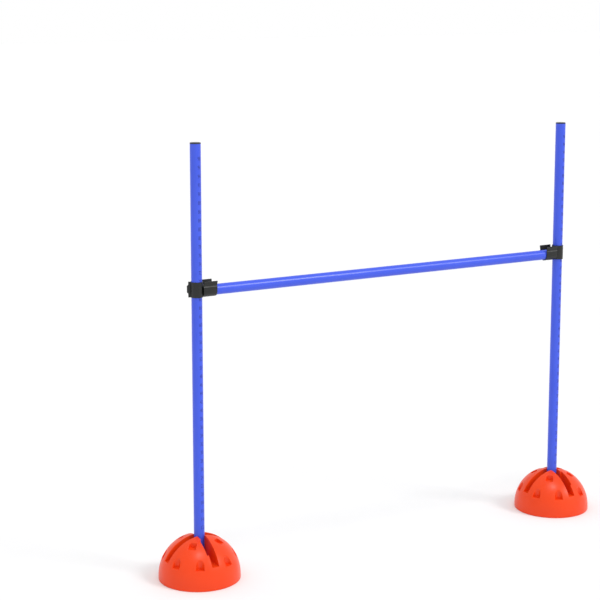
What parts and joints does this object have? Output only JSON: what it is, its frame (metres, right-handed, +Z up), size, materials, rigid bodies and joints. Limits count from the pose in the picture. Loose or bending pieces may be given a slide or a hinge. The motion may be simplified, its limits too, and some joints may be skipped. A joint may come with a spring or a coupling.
{
  "type": "agility hurdle",
  "caption": "Agility hurdle for training dogs: slotted dome bases, upright poles with a height scale, sliding clips and a lift-off crossbar.",
  "frame": {"origin": "on the floor, midway between the two poles", "axes": "+X along the crossbar towards the right pole, +Z up, -Y towards the side the dog jumps from"},
  "size_m": [1.227, 0.192, 1.02],
  "materials": {
    "base_plastic": "satin moulded polyethylene, orange-red",
    "blue_plastic": "semi-gloss extruded tube, blue",
    "black_plastic": "satin moulded plastic, near black"
  },
  "bodies": {
    "stand": {"left_base_shell": "base_plastic", "left_base_plate": "base_plastic", "left_filler_plug": "black_plastic", "right_base_shell": "base_plastic", "right_base_plate": "base_plastic", "right_filler_plug": "black_plastic"},
    "left_pole": {"left_pole": "blue_plastic", "left_pole_top_cap": "black_plastic", "left_pole_foot_cap": "black_plastic"},
    "right_pole": {"right_pole": "blue_plastic", "right_pole_top_cap": "black_plastic", "right_pole_foot_cap": "black_plastic"},
    "left_clip": {"left_clip": "black_plastic"},
    "right_clip": {"right_clip": "black_plastic"},
    "crossbar": {"crossbar": "blue_plastic", "crossbar_left_cap": "black_plastic", "crossbar_right_cap": "black_plastic"}
  },
  "joints": [
    {"name": "left_pole_pull", "type": "slide", "parent": "stand", "child": "left_pole", "axis": [0, 0, 1], "range_m": [0, 0.09]},
    {"name": "right_pole_pull", "type": "slide", "parent": "stand", "child": "right_pole", "axis": [0, 0, 1], "range_m": [0, 0.09]},
    {"name": "left_clip_height", "type": "slide", "parent": "left_pole", "child": "left_clip", "axis": [0, 0, 1], "range_m": [-0.555, 0.305]},
    {"name": "right_clip_height", "type": "slide", "parent": "right_pole", "child": "right_clip", "axis": [0, 0, 1], "range_m": [-0.555, 0.305]},
    {"name": "crossbar_lift", "type": "slide", "parent": "left_clip", "child": "crossbar", "axis": [0, 0, 1], "range_m": [0, 0.06]}
  ],
  "couplings": [
    {"joint": "right_pole_pull", "follows": "left_pole_pull", "ratio": 1},
    {"joint": "right_clip_height", "follows": "left_clip_height", "ratio": 1}
  ]
}
